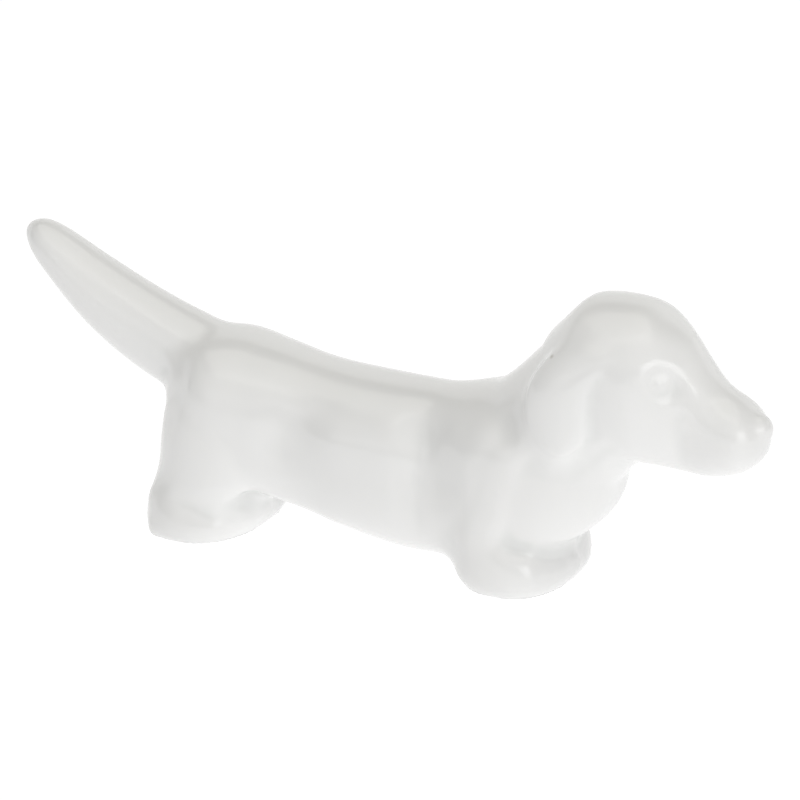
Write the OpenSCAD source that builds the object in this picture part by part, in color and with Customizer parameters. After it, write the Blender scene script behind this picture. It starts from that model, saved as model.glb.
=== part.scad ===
// Cutlery rest: a standing dachshund in white glazed porcelain.
// Knives, forks and spoons lie across the hollow of the back, between the neck and the tail.
// The nose points along +X, the left flank faces +Y, and the feet stand on Z = 0.
// Each member is shaped by itself and coped to the one that carries it.

/* [Overall] */
// Length from the nose to the tip of the tail
length = 100; // [94:1:108]
// Height of the top of the skull
crown_z = 36.75; // [34.75:0.5:38.75]
// Height of the tip of the tail
tail_z = 33.5; // [30.5:0.5:36.5]

/* [Trunk] */
// How far the nose stands out past the chest
head_reach = 18.5; // [17:0.5:20]
// How far the tail stands out past the rump
tail_reach = 20.25; // [18.25:0.5:22.25]
// Width across the shoulders
shoulder_w = 20; // [18.5:0.5:21]
// Width of the barrel
barrel_w = 17.5; // [16:0.5:18]
// Width across the hips
hip_w = 19.5; // [18:0.5:20.5]
// Height of the back at its lowest, where cutlery lies
saddle_z = 22; // [21:0.25:23]
// Height of the back over the hips
hip_z = 24.75; // [23.75:0.25:25.75]
// Gap between the brisket and the table
brisket_gap = 1; // [0.75:0.25:2]
// Gap between the loin and the table
loin_gap = 4.5; // [3.5:0.25:5.5]

/* [Head] */
// Length from the back of the skull to the nose
head_l = 29; // [27:0.5:31]
// Width of the skull
skull_w = 17.5; // [16.5:0.5:18]
// Height of the underside of the jaw
jaw_z = 16.5; // [16:0.25:17.5]
// Width of the muzzle behind the nose
muzzle_w = 9; // [8:0.5:10]
// Depth of the muzzle behind the nose
muzzle_h = 8; // [7:0.5:9]
// Width of the neck
neck_w = 16; // [15:0.5:17]
// Depth of the neck at its root
neck_d = 19; // [18:0.5:20]
// Diameter of the nose pad
nose_d = 3.8; // [3.2:0.2:4.4]
// How far the nose pad stands out past the muzzle
nose_proud = 0.4; // [0.2:0.1:0.6]
// Diameter of an eye
eye_d = 2.4; // [2:0.2:2.8]
// Depth of the socket round an eye
socket_depth = 0.6; // [0.4:0.1:0.8]

/* [Ears] */
// Length of a hanging ear
ear_l = 14.5; // [13:0.5:15.5]
// Width of an ear
ear_w = 7.6; // [6.8:0.2:8.4]
// Width across both ears
ears_w = 20.5; // [19.5:0.5:21.5]

/* [Legs] */
// Width across the front feet
front_feet_w = 20.5; // [19.5:0.5:22]
// Width across the hind feet
hind_feet_w = 22; // [21:0.5:23]
// Length of a front foot
front_foot_l = 15; // [13.5:0.5:16.5]
// Length of a hind foot
hind_foot_l = 15.5; // [14:0.5:17]
// Height of the foot at the instep
foot_h = 5.5; // [5:0.25:6.5]
// How far the front toes stand behind the chest
toe_setback = 5.5; // [4.5:0.5:6.5]
// How far the hind heels stand out past the rump
heel_overhang = 1.25; // [0.75:0.25:1.75]

/* [Tail] */
// Depth of the tail where it leaves the rump
tail_root = 11; // [10:0.5:12]
// Depth of the tail near its tip
tail_end = 6.25; // [5.25:0.25:7.25]

/* [Smoothness] */
// Facets round a large member
sides = 36; // [28:4:44]
// Facets along a large member
steps = 26; // [20:2:30]

/* [Hidden] */
nose_x = length / 2;
tip_x = -length / 2;
chest_x = nose_x - head_reach;
rump_x = tip_x + tail_reach;
trunk_l = chest_x - rump_x;
nape_x = nose_x - head_l;
muzzle_x = nose_x - nose_proud;
skull_h = crown_z - jaw_z;
front_heel_x = chest_x - toe_setback - front_foot_l;
hind_heel_x = rump_x - heel_overhang;
nose_z = jaw_z + 0.8 * muzzle_h;
porcelain = [0.93, 0.93, 0.91];

// How square the sections are: an ellipse at 2, squarer above that
skull_fullness = 2.1;
trunk_fullness = 2.3;
front_leg_fullness = 2.4;
hind_leg_fullness = 2.3;

// Facets of the ears, and of the eyes, their sockets and the nose pad
ear_sides = 24;
ear_steps = 16;
$fn = 32;

// Places along a member, from 0 at its back to 1 at its front
function along_trunk(s) = rump_x + s * trunk_l;
function along_head(s) = nape_x + s * (muzzle_x - nape_x);
function along_front_foot(s) = front_heel_x + s * front_foot_l;
function along_hind_foot(s) = hind_heel_x + s * hind_foot_l;

// Rows of a member that is alike on both sides: [station, low, high, half width].
// Rows of an ear: [station, low, high, inner, outer].
// Trunk, skull and tail run along X, with low and high as heights.
// Neck, legs and ears run up Z, with low and high as the back and front edges.
function even(row) = [row[0], row[1], row[2], -row[3], row[3]];

trunk_lines = [
    [along_trunk(0), 0.74 * hip_z, 0.74 * hip_z, 0],
    [along_trunk(0.065), 0.38 * hip_z, 0.96 * hip_z, 0.36 * hip_w],
    [along_trunk(0.145), 1.4 * loin_gap, hip_z, 0.485 * hip_w],
    [along_trunk(0.255), 1.05 * loin_gap, 0.955 * hip_z, 0.455 * hip_w],
    [along_trunk(0.345), 0.85 * loin_gap, 0.915 * hip_z, 0.465 * barrel_w],
    [along_trunk(0.43), 0.53 * loin_gap, 1.01 * saddle_z, 0.495 * barrel_w],
    [along_trunk(0.55), 1.2 * brisket_gap, saddle_z, 0.5 * barrel_w],
    [along_trunk(0.63), brisket_gap, 1.01 * saddle_z, 0.46 * barrel_w],
    [along_trunk(0.72), 1.2 * brisket_gap, 1.07 * saddle_z, 0.475 * shoulder_w],
    [along_trunk(0.785), 1.8 * brisket_gap, 1.11 * saddle_z, 0.485 * shoulder_w],
    [along_trunk(0.885), 0.21 * saddle_z, saddle_z, 0.44 * shoulder_w],
    [along_trunk(0.96), 0.39 * saddle_z, 0.93 * saddle_z, 0.3 * shoulder_w],
    [along_trunk(1), 0.64 * saddle_z, 0.64 * saddle_z, 0],
];

skull_lines = [
    [along_head(0), jaw_z + 0.545 * skull_h, jaw_z + 0.545 * skull_h, 0],
    [along_head(0.1), jaw_z + 0.2 * skull_h, jaw_z + 0.82 * skull_h, 0.37 * skull_w],
    [along_head(0.22), jaw_z + 0.09 * skull_h, jaw_z + 0.975 * skull_h, 0.475 * skull_w],
    [along_head(0.46), jaw_z + 0.03 * skull_h, jaw_z + 0.985 * skull_h, 0.49 * skull_w],
    [along_head(0.57), jaw_z + 0.02 * skull_h, jaw_z + 0.915 * skull_h, 0.41 * skull_w],
    [along_head(0.67), jaw_z, jaw_z + 1.98 * muzzle_h, 0.56 * muzzle_w],
    [along_head(0.78), jaw_z, jaw_z + 1.45 * muzzle_h, 0.53 * muzzle_w],
    [along_head(0.91), jaw_z + 0.15 * muzzle_h, jaw_z + 1.15 * muzzle_h, 0.49 * muzzle_w],
    [along_head(1), jaw_z + 0.62 * muzzle_h, jaw_z + 0.62 * muzzle_h, 0],
];

neck_lines = [
    [0.5 * saddle_z, chest_x - 0.84 * neck_d, chest_x - 0.26 * neck_d, 0.4 * neck_w],
    [0.68 * saddle_z, chest_x - 0.97 * neck_d, chest_x + 0.04 * neck_d, 0.49 * neck_w],
    [0.98 * saddle_z, chest_x - 0.95 * neck_d, chest_x + 0.05 * neck_d, 0.49 * neck_w],
    [1.2 * saddle_z, chest_x - 0.7 * neck_d, chest_x + 0.03 * neck_d, 0.46 * neck_w],
    [jaw_z + 0.74 * skull_h, along_head(0.08), along_head(0.38), 0.4 * neck_w],
];

tail_lines = [
    [tip_x, tail_z, tail_z, 0],
    [tip_x + 0.15 * tail_reach, tail_z - 0.76 * tail_end, tail_z + 0.24 * tail_end, 0.48 * tail_end],
    [tip_x + 0.52 * tail_reach, tail_z - 1.07 * tail_root, tail_z - 0.18 * tail_root, 0.39 * tail_root],
    [rump_x - 0.12 * tail_root, hip_z - 0.72 * tail_root, hip_z + 0.28 * tail_root, 0.43 * tail_root],
    [rump_x + 0.79 * tail_root, hip_z - tail_root, hip_z - 0.04 * tail_root, 0.49 * tail_root],
];

front_leg_lines = [
    [0, along_front_foot(0.1), along_front_foot(0.93), 0.46 * front_feet_w],
    [0.2 * foot_h, along_front_foot(0.03), along_front_foot(0.99), 0.49 * front_feet_w],
    [0.5 * foot_h, along_front_foot(0), along_front_foot(1), 0.5 * front_feet_w],
    [0.85 * foot_h, along_front_foot(0.01), along_front_foot(0.92), 0.495 * front_feet_w],
    [1.2 * foot_h, along_front_foot(0.03), along_front_foot(0.74), 0.5 * shoulder_w],
    [2 * foot_h, along_front_foot(0.02), along_front_foot(0.9), 0.5 * shoulder_w],
    [2.9 * foot_h, along_front_foot(0.1), along_front_foot(1), 0.485 * shoulder_w],
    [3.5 * foot_h, along_front_foot(0.26), along_front_foot(0.97), 0.425 * shoulder_w],
    [4 * foot_h, along_front_foot(0.6), along_front_foot(0.6), 0],
];

hind_leg_lines = [
    [0, along_hind_foot(0.02), along_hind_foot(0.92), 0.485 * hind_feet_w],
    [0.2 * foot_h, along_hind_foot(0), along_hind_foot(0.965), 0.5 * hind_feet_w],
    [0.4 * foot_h, along_hind_foot(0), along_hind_foot(0.98), 0.5 * hind_feet_w],
    [0.65 * foot_h, along_hind_foot(0.02), along_hind_foot(0.92), 0.485 * hind_feet_w],
    [0.9 * foot_h, along_hind_foot(0.05), along_hind_foot(0.85), 0.46 * hind_feet_w],
    [1.4 * foot_h, along_hind_foot(0.08), along_hind_foot(1.16), 0.513 * hip_w],
    [2.2 * foot_h, along_hind_foot(0.11), along_hind_foot(1.23), 0.51 * hip_w],
    [3 * foot_h, along_hind_foot(0.16), along_hind_foot(1.2), 0.47 * hip_w],
    [3.6 * foot_h, along_hind_foot(0.28), along_hind_foot(1.06), 0.38 * hip_w],
    [4.1 * foot_h, along_hind_foot(0.68), along_hind_foot(0.68), 0],
];

ear_top = jaw_z + 0.84 * skull_h;
ear_x = along_head(0.055);
ear_lines = [
    [ear_top - ear_l, ear_x + 0.55 * ear_w, ear_x + 0.55 * ear_w, 0.44 * ears_w, 0.44 * ears_w],
    [ear_top - 0.91 * ear_l, ear_x + 0.17 * ear_w, ear_x + 0.86 * ear_w, 0.36 * ears_w, 0.49 * ears_w],
    [ear_top - 0.78 * ear_l, ear_x + 0.03 * ear_w, ear_x + 0.97 * ear_w, 0.34 * ears_w, 0.5 * ears_w],
    [ear_top - 0.55 * ear_l, ear_x, ear_x + 1.03 * ear_w, 0.33 * ears_w, 0.5 * ears_w],
    [ear_top - 0.35 * ear_l, ear_x + 0.11 * ear_w, ear_x + 1.13 * ear_w, 0.32 * ears_w, 0.475 * ears_w],
    [ear_top - 0.15 * ear_l, ear_x + 0.4 * ear_w, ear_x + 1.43 * ear_w, 0.29 * ears_w, 0.41 * ears_w],
    [ear_top, ear_x + 1.05 * ear_w, ear_x + 1.05 * ear_w, 0.3 * ears_w, 0.3 * ears_w],
];

skull_rows = [for (r = skull_lines) even(r)];
eye_x = along_head(0.61);
eye_z = jaw_z + 0.605 * skull_h;
socket_r = 7;

// Middles and half sizes of a row. The half sizes are squared, so that a member that narrows
// to nothing closes round.
function form(row) = [
    (row[1] + row[2]) / 2,
    (row[3] + row[4]) / 2,
    pow((row[2] - row[1]) / 2, 2),
    pow((row[4] - row[3]) / 2, 2),
];

function slope(rows, i) =
    let (a = max(i - 1, 0), b = min(i + 1, len(rows) - 1))
    (form(rows[b]) - form(rows[a])) / (rows[b][0] - rows[a][0]);

function span_at(rows, t, i = 0) =
    i == len(rows) - 2 || t < rows[i + 1][0] ? i : span_at(rows, t, i + 1);

// Smooth curve through the rows
function form_at(rows, t) =
    let (
        i = span_at(rows, t),
        h = rows[i + 1][0] - rows[i][0],
        s = (t - rows[i][0]) / h
    )
    (2 * pow(s, 3) - 3 * pow(s, 2) + 1) * form(rows[i])
    + (pow(s, 3) - 2 * pow(s, 2) + s) * h * slope(rows, i)
    + (3 * pow(s, 2) - 2 * pow(s, 3)) * form(rows[i + 1])
    + (pow(s, 3) - pow(s, 2)) * h * slope(rows, i + 1);

function signed_power(v, e) = sign(v) * pow(abs(v), e);

// One closed section, an ellipse where fullness is 2 and squarer above that
function section(rows, t, angles, fullness) =
    let (f = form_at(rows, t), high = sqrt(max(f[2], 0)), wide = sqrt(max(f[3], 0)), e = 2 / fullness)
    [for (g = angles) [t, f[1] + wide * signed_power(cos(g), e), f[0] + high * signed_power(sin(g), e)]];

function pole(row) = [row[0], (row[3] + row[4]) / 2, (row[1] + row[2]) / 2];

function turned(faces) = [for (f = faces) [for (k = [len(f) - 1:-1:0]) f[k]]];

// Skin through the rows. An end of no width closes to a pole, any other end is flat.
module loft(rows, upright = false, half = false, fullness = 2, sides = sides, steps = steps) {
    first = rows[0];
    last = rows[len(rows) - 1];
    round_first = first[3] == first[4];
    round_last = last[3] == last[4];
    angles = half
        ? [for (k = [0:sides / 2]) 360 * k / sides - 90]
        : [for (k = [0:sides - 1]) 360 * k / sides];
    n = len(angles);
    l = last[0] - first[0];
    rings = [
        for (i = [round_first ? 1 : 0:round_last ? steps - 1 : steps])
            section(rows, first[0] + l * (1 - cos(180 * i / steps)) / 2, angles, fullness)
    ];
    m = len(rings);
    points = [for (r = rings) each r, pole(first), pole(last)];
    skin = [
        for (i = [0:m - 2], k = [0:n - 1])
            let (a = i * n + k, b = i * n + (k + 1) % n)
            each [[a, a + n, b + n], [a, b + n, b]]
    ];
    first_end = round_first
        ? [for (k = [0:n - 1]) [m * n, k, (k + 1) % n]]
        : [[for (k = [0:n - 1]) k]];
    last_end = round_last
        ? [for (k = [0:n - 1]) [m * n + 1, (m - 1) * n + (k + 1) % n, (m - 1) * n + k]]
        : [[for (k = [n - 1:-1:0]) (m - 1) * n + k]];
    faces = concat(skin, first_end, last_end);
    polyhedron(
        points = [for (p = points) upright ? [p[2], p[1], p[0]] : p],
        faces = upright ? turned(faces) : faces
    );
}

function unit(v) = v / norm(v);

// Point on the left side of the skull, and the way that the skin faces there
function skull_point(x, z) =
    let (f = form_at(skull_rows, x), rise = abs(z - f[0]) / sqrt(f[2]))
    [x, sqrt(f[3]) * pow(1 - pow(rise, skull_fullness), 1 / skull_fullness), z];

function skull_normal(x, z, d = 0.2) = unit(cross(
    skull_point(x, z + d) - skull_point(x, z - d),
    skull_point(x + d, z) - skull_point(x - d, z)
));

module trunk_form() {
    loft([for (r = trunk_lines) even(r)], fullness = trunk_fullness);
}

module head_form() {
    loft(skull_rows, fullness = skull_fullness);
    loft([for (r = neck_lines) even(r)], upright = true);
}

// Shallow socket with the eye set in it, on the left side
module eye_socket() {
    translate(skull_point(eye_x, eye_z) + (socket_r - socket_depth) * skull_normal(eye_x, eye_z))
        sphere(r = socket_r);
}

module eye() {
    translate(skull_point(eye_x, eye_z) - eye_d / 2 * skull_normal(eye_x, eye_z))
        sphere(d = eye_d);
}

module trunk() {
    color(porcelain) trunk_form();
}

module head() {
    color(porcelain) {
        difference() {
            head_form();
            trunk_form();
            eye_socket();
            mirror([0, 1, 0]) eye_socket();
        }
        eye();
        mirror([0, 1, 0]) eye();
        translate([nose_x - nose_d / 2, 0, nose_z]) sphere(d = nose_d);
    }
}

module tail() {
    color(porcelain) difference() {
        loft([for (r = tail_lines) even(r)]);
        trunk_form();
    }
}

// Left members as they are lofted, right ones as their mirror image
module on_side(left) {
    mirror([0, left ? 0 : 1, 0]) children();
}

module ear(left) {
    color(porcelain) difference() {
        on_side(left) loft(ear_lines, upright = true, sides = ear_sides, steps = ear_steps);
        head_form();
        trunk_form();
    }
}

module front_leg(left) {
    color(porcelain) difference() {
        on_side(left) loft(
            [for (r = front_leg_lines) even(r)],
            upright = true, half = true, fullness = front_leg_fullness
        );
        head_form();
        trunk_form();
    }
}

module hind_leg(left) {
    color(porcelain) difference() {
        on_side(left) loft(
            [for (r = hind_leg_lines) even(r)],
            upright = true, half = true, fullness = hind_leg_fullness
        );
        trunk_form();
    }
}

trunk();
head();
tail();
ear(true);  // left_ear
ear(false);  // right_ear
front_leg(true);  // left_front_leg
front_leg(false);  // right_front_leg
hind_leg(true);  // left_hind_leg
hind_leg(false);  // right_hind_leg
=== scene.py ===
"""Studio scene of a white porcelain cutlery rest: a long dog standing on four feet.

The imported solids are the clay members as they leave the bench, each with flat facets and with an open
seam to its neighbour. Here they are luted together as a potter does it: the facets are rounded off, the
seams are filled with a fillet of slip, low reliefs are worked in, and the glaze flows over all of it as
one skin. The skin is then divided along the old seams, so that each member is still a piece of its own
with a real wall.
"""

import logging
import math
from dataclasses import dataclass, field
from enum import Enum
from typing import Optional, Sequence

import bpy
import numpy as np
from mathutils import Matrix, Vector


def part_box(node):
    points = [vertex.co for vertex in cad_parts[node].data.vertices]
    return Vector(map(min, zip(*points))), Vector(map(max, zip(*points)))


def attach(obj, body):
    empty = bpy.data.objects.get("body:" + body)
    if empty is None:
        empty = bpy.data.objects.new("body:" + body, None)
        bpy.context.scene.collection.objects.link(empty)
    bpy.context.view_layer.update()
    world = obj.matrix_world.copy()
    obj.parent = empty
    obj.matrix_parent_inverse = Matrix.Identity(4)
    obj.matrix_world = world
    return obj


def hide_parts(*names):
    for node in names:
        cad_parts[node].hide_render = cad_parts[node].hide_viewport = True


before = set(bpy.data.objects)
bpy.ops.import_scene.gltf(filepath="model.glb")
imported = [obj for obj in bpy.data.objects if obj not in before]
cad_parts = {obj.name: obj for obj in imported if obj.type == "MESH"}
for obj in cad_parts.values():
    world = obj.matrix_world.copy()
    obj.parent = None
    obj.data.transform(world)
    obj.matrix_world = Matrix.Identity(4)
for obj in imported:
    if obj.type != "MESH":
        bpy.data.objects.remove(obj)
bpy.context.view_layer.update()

import openvdb as vdb
from mathutils import Quaternion, Vector

LOG = logging.getLogger("cutlery_rest")
MM = 0.001
BODY = "root"
PHOTO_WIDTH = 800
# Points below this height touch the table, in millimetres.
ON_TABLE = 1e-6
# Where a mix node has its colours: the two that go in and the one that comes out.
MIX_COLOURS = (6, 7)
MIX_RESULT = 2

Colour = tuple[float, float, float]
Place = tuple[float, float, float]
Range = tuple[float, float]
Material = bpy.types.Material
Socket = bpy.types.NodeSocket


class Member(Enum):
    """The clay members, each by the name of its node in the frame."""

    TRUNK = "trunk"
    HEAD = "head"
    TAIL = "tail"
    LEFT_EAR = "left_ear"
    RIGHT_EAR = "right_ear"
    LEFT_FRONT_LEG = "left_front_leg"
    RIGHT_FRONT_LEG = "right_front_leg"
    LEFT_HIND_LEG = "left_hind_leg"
    RIGHT_HIND_LEG = "right_hind_leg"


class Lump(Enum):
    """What is pressed on in one go: a single member, or a left and right pair."""

    TRUNK = (Member.TRUNK,)
    TAIL = (Member.TAIL,)
    HIND_LEGS = (Member.LEFT_HIND_LEG, Member.RIGHT_HIND_LEG)
    HEAD = (Member.HEAD,)
    FRONT_LEGS = (Member.LEFT_FRONT_LEG, Member.RIGHT_FRONT_LEG)
    EARS = (Member.LEFT_EAR, Member.RIGHT_EAR)

    def on_side(self, left: bool) -> Member:
        """The member of this lump on the left or right side of the dog."""
        return self.value[0] if left else self.value[-1]


def unit(vectors: np.ndarray) -> np.ndarray:
    """Scale rows of vectors to length 1.

    Args:
        vectors: Rows of three numbers.

    Returns:
        The rows at length 1, and rows of no length as they are.
    """
    lengths = np.linalg.norm(vectors, axis=-1, keepdims=True)
    return vectors / np.where(lengths > 0, lengths, 1.0)


def fade(values: np.ndarray, full: float, none: float) -> np.ndarray:
    """Fall smoothly from 1 to 0 between two values.

    Args:
        values: What decides the share.
        full: Value at which the share is 1.
        none: Value at which the share is 0.

    Returns:
        Shares from 0 to 1, shaped as the values.
    """
    share = np.clip((none - values) / (none - full), 0.0, 1.0)
    return share * share * (3.0 - 2.0 * share)


def sides(quads: np.ndarray) -> np.ndarray:
    """List the sides of faces, first all first sides, then all second ones.

    Args:
        quads: Rows of four indices.

    Returns:
        Rows of two indices, in the direction that the faces run.
    """
    return np.concatenate([quads[:, [k, (k + 1) % 4]] for k in range(4)])


def placed(data: bpy.types.ID) -> bpy.types.Object:
    """Put a mesh, a light or a camera into the scene.

    Args:
        data: What is put there, with the name that the object gets.

    Returns:
        The new object.
    """
    item = bpy.data.objects.new(data.name, data)
    bpy.context.scene.collection.objects.link(item)
    return item


@dataclass(frozen=True)
class Facets:
    """Flat facets of a lump of clay, in millimetres.

    Attributes:
        points: Corner points, one row each.
        triangles: Rows of three indices into the points.
    """

    points: np.ndarray
    triangles: np.ndarray

    @classmethod
    def of(cls, lump: Lump, weld: float = 0.0005, meeting: float = 0.01) -> "Facets":
        """Read the facets of a lump from the frame.

        Args:
            lump: The member or pair of members to read.
            weld: Corners closer than this become one, in millimetres.
            meeting: Faces of a pair that lie this close to the middle plane are left out.

        Returns:
            The welded facets, with a pair joined across the middle plane.
        """
        corners = []
        for member in lump.value:
            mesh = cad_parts[member.value].data
            mesh.calc_loop_triangles()
            points = np.empty(3 * len(mesh.vertices), np.float32)
            mesh.vertices.foreach_get("co", points)
            triangles = np.empty(3 * len(mesh.loop_triangles), np.int32)
            mesh.loop_triangles.foreach_get("vertices", triangles)
            corners.append(points.reshape(-1, 3)[triangles].astype(float) / MM)
        corners = np.concatenate(corners)
        _, first, index = np.unique(np.round(corners / weld), axis=0, return_index=True, return_inverse=True)
        points, triangles = corners[first], index.reshape(-1, 3)
        real = (np.diff(np.sort(triangles, axis=1), axis=1) > 0).all(1)
        if len(lump.value) == 2:
            real &= ~(np.abs(points[triangles, 1]) < meeting).all(1)
        return cls(points, triangles[real])

    def corner_normals(self, crease: float) -> np.ndarray:
        """Find how the rounded clay faces at each corner of each facet.

        Args:
            crease: Edges sharper than this angle stay sharp, in radians.

        Returns:
            Normals by triangle and corner.
        """
        mesh = bpy.data.meshes.new("facets")
        mesh.from_pydata(self.points.tolist(), [], self.triangles.tolist())
        mesh.shade_smooth()
        mesh.set_sharp_from_angle(angle=crease)
        normals = np.empty(3 * len(mesh.loops), np.float32)
        mesh.corner_normals.foreach_get("vector", normals)
        bpy.data.meshes.remove(mesh)
        return normals.reshape(-1, 3, 3).astype(float)

    def rounded(self, splits: int = 4, crease: float = math.radians(38), pull: float = 0.5) -> "Facets":
        """Bulge each facet to the curve that its corner normals describe.

        Args:
            splits: How many parts each edge is cut into.
            crease: Edges sharper than this angle stay sharp, in radians.
            pull: Share of the way to the corners' tangent planes. A half turns chords into arcs.

        Returns:
            Smaller facets that follow the curve.
        """
        normals = self.corner_normals(crease)
        lattice = [(i, j) for i in range(splits + 1) for j in range(splits + 1 - i)]
        place = {ij: k for k, ij in enumerate(lattice)}
        shares = np.array([(splits - i - j, i, j) for i, j in lattice], float) / splits
        small = [(place[i, j], place[i + 1, j], place[i, j + 1]) for i, j in lattice if i + j < splits]
        small += [
            (place[i + 1, j], place[i + 1, j + 1], place[i, j + 1]) for i, j in lattice if i + j < splits - 1
        ]
        corners = self.points[self.triangles]
        flat = np.einsum("lk,tkc->tlc", shares, corners)
        curved = np.zeros_like(flat)
        for k in range(3):
            off = np.einsum("tlc,tc->tl", flat - corners[:, None, k], normals[:, k])
            curved += shares[None, :, k, None] * (flat - off[..., None] * normals[:, None, k])
        points = (1.0 - pull) * flat + pull * curved
        starts = len(lattice) * np.arange(len(points))
        triangles = starts[:, None, None] + np.array(small)[None]
        return Facets(points.reshape(-1, 3), triangles.reshape(-1, 3))


@dataclass
class ClayBlock:
    """A block of voxels round the figure, which holds distances to a surface, in millimetres.

    Attributes:
        voxel: Edge of a voxel.
        margin: Room between the figure and the sides of the block.
        reach: How far outside a surface the distances are kept.
        depth: How far inside a surface the distances are kept.
        low: Indices of the lowest voxel.
        shape: Count of voxels along each axis.
        transform: What turns indices into millimetres.
    """

    voxel: float = 0.3
    margin: float = 9.0
    reach: float = 7.5
    depth: float = 2.1
    low: np.ndarray = field(init=False)
    shape: tuple[int, ...] = field(init=False)
    transform: object = field(init=False)

    def __post_init__(self) -> None:
        """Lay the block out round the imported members."""
        boxes = np.array([[list(corner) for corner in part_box(member.value)] for member in Member]) / MM
        low, high = boxes[:, 0].min(0), boxes[:, 1].max(0)
        self.low = np.floor((low - self.margin) / self.voxel).astype(int)
        self.shape = tuple(np.ceil((high + self.margin) / self.voxel).astype(int) - self.low + 1)
        self.transform = vdb.createLinearTransform(voxelSize=self.voxel)

    @property
    def corner(self) -> tuple[int, int, int]:
        """Indices of the lowest voxel as plain numbers."""
        return tuple(int(v) for v in self.low)

    def distances(
        self,
        points: np.ndarray,
        faces: np.ndarray,
        reach: Optional[float] = None,
        depth: Optional[float] = None,
    ) -> np.ndarray:
        """Measure the distance of every voxel to a closed surface.

        Args:
            points: Points of the surface.
            faces: Rows of three or four indices into the points.
            reach: How far outside the distances are kept, or None for the block's own reach.
            depth: How far inside the distances are kept, or None for the block's own depth.

        Returns:
            Distances, negative inside.
        """
        kind = "triangles" if faces.shape[1] == 3 else "quads"
        grid = vdb.FloatGrid.createLevelSetFromPolygons(
            np.ascontiguousarray(points, np.float32),
            **{kind: np.ascontiguousarray(faces, np.uint32)},
            transform=self.transform,
            exBandWidth=(reach or self.reach) / self.voxel,
            inBandWidth=(depth or self.depth) / self.voxel,
        )
        values = np.empty(self.shape, np.float32)
        grid.copyToArray(values, ijk=self.corner)
        return values

    def surface(self, values: np.ndarray, level: float = 0.0) -> tuple[np.ndarray, np.ndarray]:
        """Draw the surface on which the distances have one value.

        Args:
            values: Distances in the block.
            level: The distance on the surface.

        Returns:
            Points in millimetres and rows of four indices.
        """
        grid = vdb.FloatGrid(float(values.max()))
        grid.copyFromArray(np.ascontiguousarray(values), ijk=self.corner)
        grid.transform = self.transform
        points, quads = grid.convertToQuads(isovalue=level)
        return np.array(points, float), np.array(quads, int)

    def places(self) -> np.ndarray:
        """Say where each voxel is.

        Returns:
            Places in millimetres, by the three indices of the voxel.
        """
        axes = [(self.low[k] + np.arange(self.shape[k])) * self.voxel for k in range(3)]
        return np.stack(np.meshgrid(*axes, indexing="ij"), -1).astype(np.float32)

    def filleted(self, values: np.ndarray, radius: float, band: int = 3) -> np.ndarray:
        """Fill every hollow corner with slip that a ball could have smoothed.

        Args:
            values: Distances to the figure before.
            radius: Radius of the ball.
            band: How many voxels outside the ball's path are kept.

        Returns:
            Distances to the filled figure.
        """
        points, quads = self.surface(values, radius)
        swollen = self.distances(points, quads, reach=band * self.voxel, depth=radius + self.depth)
        return swollen + radius

    def sample(self, values: np.ndarray, points: np.ndarray) -> np.ndarray:
        """Read distances at points between the voxels.

        Args:
            values: Distances in the block.
            points: Rows of places in millimetres.

        Returns:
            One distance for each point.
        """
        place = points / self.voxel - self.low
        base = np.clip(np.floor(place).astype(int), 0, np.array(self.shape) - 2)
        part = place - base
        total = np.zeros(len(points))
        for corner in np.ndindex(2, 2, 2):
            weight = np.where(corner, part, 1.0 - part).prod(1)
            total += weight * values[tuple((base + corner).T)]
        return total

    def slopes(self, values: np.ndarray, points: np.ndarray) -> np.ndarray:
        """Find which way the distances grow at points.

        Args:
            values: Distances in the block.
            points: Rows of places in millimetres.

        Returns:
            Rows of slopes along the three axes.
        """
        step = self.voxel * np.eye(3)
        pairs = [self.sample(values, points + s) - self.sample(values, points - s) for s in step]
        return np.stack(pairs, axis=1) / (2.0 * self.voxel)

    def settled(
        self, values: np.ndarray, points: np.ndarray, rounds: int = 2, least: float = 0.25
    ) -> np.ndarray:
        """Move points straight onto the surface of distance 0.

        Args:
            values: Distances in the block.
            points: Rows of places near the surface.
            rounds: How often each point is moved.
            least: Smallest square of a slope that is used, which limits the moves.

        Returns:
            The points on the surface.
        """
        for _ in range(rounds):
            slope = self.slopes(values, points)
            square = np.maximum((slope * slope).sum(1), least)
            points = points - (self.sample(values, points) / square)[:, None] * slope
        return points


def gap_to_curve(points: np.ndarray, curve: Sequence[Place], least: float = 1e-9) -> np.ndarray:
    """Measure how far points are from a curve on the left side or its mirror image on the right.

    Args:
        points: Places in millimetres, in rows or any other layout with three numbers last.
        curve: Places along the curve, on the left side.
        least: Smallest square of a length, so that one place alone is a curve too.

    Returns:
        One distance for each point.
    """
    x, y, z = points[..., 0], np.abs(points[..., 1]), points[..., 2]
    nearest = np.full(points.shape[:-1], np.inf, points.dtype)
    for start, end in zip(curve, curve[1:] or curve):
        dx, dy, dz = (float(e - s) for s, e in zip(start, end))
        gx, gy, gz = x - start[0], y - start[1], z - start[2]
        length = max(dx * dx + dy * dy + dz * dz, least)
        along = np.clip((gx * dx + gy * dy + gz * dz) / length, 0.0, 1.0)
        square = (gx - along * dx) ** 2 + (gy - along * dy) ** 2 + (gz - along * dz) ** 2
        nearest = np.minimum(nearest, np.sqrt(square))
    return nearest


@dataclass(frozen=True)
class Spot:
    """A place on the figure, or a line along it, on both sides of the dog.

    Attributes:
        curve: Places along its middle, on the left side, in millimetres.
        core: Distance within which it counts in full.
        edge: Distance from which it no longer counts.
    """

    curve: tuple[Place, ...]
    core: float
    edge: float

    def share(self, points: np.ndarray) -> np.ndarray:
        """How much the place counts at points, from 0 to 1."""
        return fade(gap_to_curve(points, self.curve), self.core, self.edge)


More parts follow.
